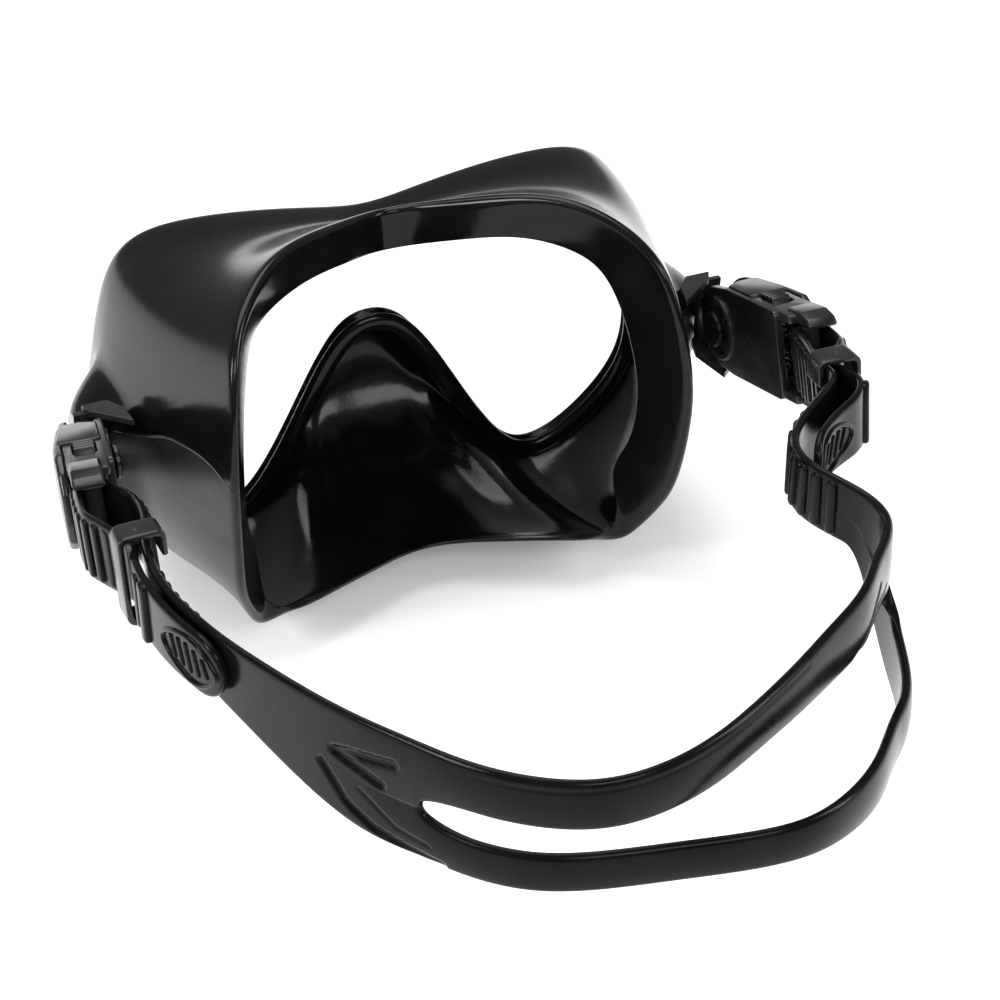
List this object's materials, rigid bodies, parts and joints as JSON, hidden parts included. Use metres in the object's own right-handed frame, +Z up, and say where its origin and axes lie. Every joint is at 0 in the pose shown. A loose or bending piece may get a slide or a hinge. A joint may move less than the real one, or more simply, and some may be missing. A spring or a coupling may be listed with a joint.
{
  "type": "diving mask",
  "caption": "Diving mask: one flat lens in a soft skirt with a nose pocket, side swivel buckles with squeeze buttons, and a split head strap with keepers.",
  "frame": {"origin": "on the mask's mirror plane at the apex of the nose notch, in the plane of the lens aperture", "axes": "+Z up as worn, +Y out of the lens towards the wearer's face, +X to the wearer's left"},
  "size_m": [0.2113, 0.2811, 0.1216],
  "materials": {
    "black_silicone": "glossy moulded silicone",
    "strap_silicone": "semi-gloss moulded silicone",
    "black_nylon": "satin moulded nylon",
    "grip_nylon": "fine-textured moulded nylon",
    "tempered_glass": "clear polished",
    "stainless_steel": "brushed"
  },
  "bodies": {
    "mask": {"skirt": "black_silicone", "lens": "tempered_glass", "left_swivel_bracket": "black_nylon", "left_swivel_pin": "stainless_steel", "right_swivel_bracket": "black_nylon", "right_swivel_pin": "stainless_steel"},
    "harness": {"head_strap": "strap_silicone", "left_buckle_body": "black_nylon", "left_buckle_cover": "black_nylon", "left_upper_button_spring": "stainless_steel", "left_lower_button_spring": "stainless_steel", "left_pawl_pin": "stainless_steel", "left_roller_pin": "stainless_steel", "right_buckle_body": "black_nylon", "right_buckle_cover": "black_nylon", "right_upper_button_spring": "stainless_steel", "right_lower_button_spring": "stainless_steel", "right_pawl_pin": "stainless_steel", "right_roller_pin": "stainless_steel"},
    "left_upper_button": {"left_upper_button": "grip_nylon"},
    "left_lower_button": {"left_lower_button": "grip_nylon"},
    "left_pawl": {"left_pawl": "grip_nylon"},
    "left_strap_roller": {"left_strap_roller": "black_nylon"},
    "left_keeper": {"left_keeper": "black_nylon"},
    "right_upper_button": {"right_upper_button": "grip_nylon"},
    "right_lower_button": {"right_lower_button": "grip_nylon"},
    "right_pawl": {"right_pawl": "grip_nylon"},
    "right_strap_roller": {"right_strap_roller": "black_nylon"},
    "right_keeper": {"right_keeper": "black_nylon"}
  },
  "joints": [
    {"name": "strap_swivel", "type": "hinge", "parent": "mask", "child": "harness", "pos_m": [0, 0.047, 0.003], "axis": [1, 0, 0], "range_deg": [-28, 45]},
    {"name": "left_upper_button_press", "type": "slide", "parent": "harness", "child": "left_upper_button", "axis": [0, 0.342, -0.9397], "range_m": [0, 0.0015], "stiffness_N_per_m": 500, "springref_m": -0.002, "deforming": ["left_upper_button_spring"]},
    {"name": "left_lower_button_press", "type": "slide", "parent": "harness", "child": "left_lower_button", "axis": [0, -0.342, 0.9397], "range_m": [0, 0.0015], "stiffness_N_per_m": 500, "springref_m": -0.002, "deforming": ["left_lower_button_spring"]},
    {"name": "left_pawl_lift", "type": "hinge", "parent": "harness", "child": "left_pawl", "pos_m": [0.10175, 0.07199, 0.0121], "axis": [0, 0.342, -0.9397], "range_deg": [0, 3.5]},
    {"name": "left_roller_spin", "type": "hinge", "parent": "harness", "child": "left_strap_roller", "pos_m": [0.09993, 0.08827, 0.01802], "axis": [0, -0.342, 0.9397], "continuous": true},
    {"name": "left_keeper_slide", "type": "slide", "parent": "harness", "child": "left_keeper", "axis": [-0.0523, 0.9863, 0.1562], "range_m": [-0.002, 0.003]},
    {"name": "right_upper_button_press", "type": "slide", "parent": "harness", "child": "right_upper_button", "axis": [0, 0.342, -0.9397], "range_m": [0, 0.0015], "stiffness_N_per_m": 500, "springref_m": -0.002, "deforming": ["right_upper_button_spring"]},
    {"name": "right_lower_button_press", "type": "slide", "parent": "harness", "child": "right_lower_button", "axis": [0, -0.342, 0.9397], "range_m": [0, 0.0015], "stiffness_N_per_m": 500, "springref_m": -0.002, "deforming": ["right_lower_button_spring"]},
    {"name": "right_pawl_lift", "type": "hinge", "parent": "harness", "child": "right_pawl", "pos_m": [-0.09981, 0.07285, 0.01241], "axis": [0, -0.342, 0.9397], "range_deg": [0, 3.5]},
    {"name": "right_roller_spin", "type": "hinge", "parent": "harness", "child": "right_strap_roller", "pos_m": [-0.09676, 0.08897, 0.01827], "axis": [0, -0.342, 0.9397], "continuous": true},
    {"name": "right_keeper_slide", "type": "slide", "parent": "harness", "child": "right_keeper", "axis": [0, 0.9877, 0.1564], "range_m": [-0.0008, 0.0009]}
  ],
  "couplings": [
    {"joint": "left_lower_button_press", "follows": "left_upper_button_press", "ratio": 1},
    {"joint": "left_pawl_lift", "follows": "left_upper_button_press", "rad_per_m": 40},
    {"joint": "right_lower_button_press", "follows": "right_upper_button_press", "ratio": 1},
    {"joint": "right_pawl_lift", "follows": "right_upper_button_press", "rad_per_m": 40}
  ]
}
